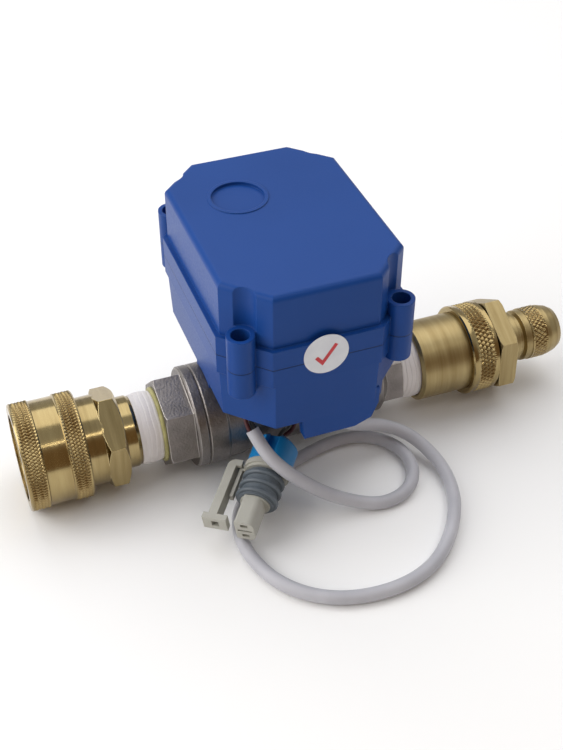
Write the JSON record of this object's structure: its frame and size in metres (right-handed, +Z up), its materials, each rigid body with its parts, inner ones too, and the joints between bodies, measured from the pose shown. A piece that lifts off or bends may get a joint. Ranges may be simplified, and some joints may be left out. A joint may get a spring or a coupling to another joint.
{
  "type": "motorized ball valve",
  "caption": "Motor-driven ball valve with a boxy geared actuator, a quick coupler socket inlet, a plug nipple outlet and a lead with a sealed connector.",
  "frame": {"origin": "centre of the bottom of the bounding box, without the lead", "axes": "+X along the pipe from inlet to outlet, +Y to the back of the actuator, +Z up"},
  "size_m": [0.1772, 0.111, 0.082],
  "materials": {
    "blue_housing": "fine moulded texture, satin",
    "stainless": "bead blasted dark satin",
    "polished_steel": "polished",
    "screw_steel": "zinc plated",
    "motor_steel": "plated can",
    "brass": "machined, lightly aged",
    "brass_knurled": "knurled bands, aged in the grooves",
    "ptfe_white": "smooth",
    "tape_white": "thin wrapped tape",
    "sealant_olive": "cured bead",
    "black_rubber": "matt",
    "gear_white": "moulded",
    "gear_black": "moulded",
    "board_green": "solder mask",
    "mark_white": "thin oval label",
    "cable_grey": "soft jacket",
    "wire_red": "insulated conductor",
    "wire_black": "insulated conductor",
    "connector_beige": "moulded",
    "seal_slate": "soft silicone",
    "retainer_blue": "moulded",
    "terminal_tin": "tinned"
  },
  "bodies": {
    "housing": {"actuator_base": "blue_housing", "actuator_cover": "blue_housing", "base_screw_left": "screw_steel", "base_screw_right": "screw_steel", "cable": "cable_grey", "cable_gland": "black_rubber", "circuit_board": "board_green", "conductor_black": "wire_black", "conductor_red": "wire_red", "connector_body": "connector_beige", "connector_retainer": "retainer_blue", "connector_seal": "seal_slate", "coupler_body": "brass", "coupler_seal": "black_rubber", "cover_screw_back_left": "screw_steel", "cover_screw_back_right": "screw_steel", "cover_screw_front_left": "screw_steel", "cover_screw_front_right": "screw_steel", "gear_motor": "motor_steel", "gear_plate": "gear_black", "idler_axle": "polished_steel", "inlet_tape": "tape_white", "inspection_mark": "mark_white", "limit_switch_closed": "gear_black", "limit_switch_open": "gear_black", "locking_ball_1": "polished_steel", "locking_ball_2": "polished_steel", "locking_ball_3": "polished_steel", "locking_ball_4": "polished_steel", "locking_ball_5": "polished_steel", "locking_ball_6": "polished_steel", "outlet_adapter": "brass", "outlet_tape": "tape_white", "plug_nipple": "brass", "sealant_bead": "sealant_olive", "seat_inlet": "ptfe_white", "seat_outlet": "ptfe_white", "sleeve_spring": "polished_steel", "sleeve_stop_ring": "polished_steel", "terminal_lower": "terminal_tin", "terminal_upper": "terminal_tin", "union_gasket": "black_rubber", "union_ring": "brass_knurled", "valve_body": "stainless", "valve_end_cap": "stainless"},
    "valve_train": {"valve_ball": "polished_steel", "valve_stem": "polished_steel", "stem_seal_1": "black_rubber", "stem_seal_2": "black_rubber", "output_gear": "gear_white", "limit_cam": "gear_black"},
    "idler": {"idler_gear": "gear_white"},
    "motor_shaft": {"motor_pinion": "brass"},
    "sleeve": {"coupler_sleeve": "brass_knurled"},
    "latch": {"connector_latch": "connector_beige"},
    "plunger_open": {"switch_plunger_open": "gear_white"},
    "plunger_closed": {"switch_plunger_closed": "gear_white"}
  },
  "joints": [
    {"name": "valve_quarter_turn", "type": "hinge", "parent": "housing", "child": "valve_train", "pos_m": [-0.00683, 0, 0.01615], "axis": [0, 0, -1], "range_deg": [0, 90]},
    {"name": "idler_turn", "type": "hinge", "parent": "housing", "child": "idler", "pos_m": [-0.00085, 0.01837, 0.04615], "axis": [0, 0, -1], "range_deg": [-270, 0]},
    {"name": "motor_turn", "type": "hinge", "parent": "housing", "child": "motor_shaft", "pos_m": [-0.01308, 0.01487, 0.05215], "axis": [0, 0, -1], "range_deg": [0, 675]},
    {"name": "sleeve_pull", "type": "slide", "parent": "housing", "child": "sleeve", "axis": [1, 0, 0], "range_m": [0, 0.0035], "stiffness_N_per_m": 1500, "deforming": ["sleeve_spring"]},
    {"name": "latch_flex", "type": "hinge", "parent": "housing", "child": "latch", "pos_m": [-0.02769, -0.02244, 0.01188], "axis": [-0.1586, -0.0645, 0.9852], "range_deg": [-6, 4], "stiffness_Nm_per_rad": 0.3},
    {"name": "open_switch_press", "type": "slide", "parent": "housing", "child": "plunger_open", "axis": [0.7071, -0.7071, 0], "range_m": [0, 0.0009], "stiffness_N_per_m": 200},
    {"name": "closed_switch_press", "type": "slide", "parent": "housing", "child": "plunger_closed", "axis": [-0.7071, -0.7071, 0], "range_m": [0, 0.0009], "stiffness_N_per_m": 200}
  ],
  "couplings": [
    {"joint": "idler_turn", "follows": "valve_quarter_turn", "ratio": -3},
    {"joint": "motor_turn", "follows": "valve_quarter_turn", "ratio": 7.5}
  ]
}
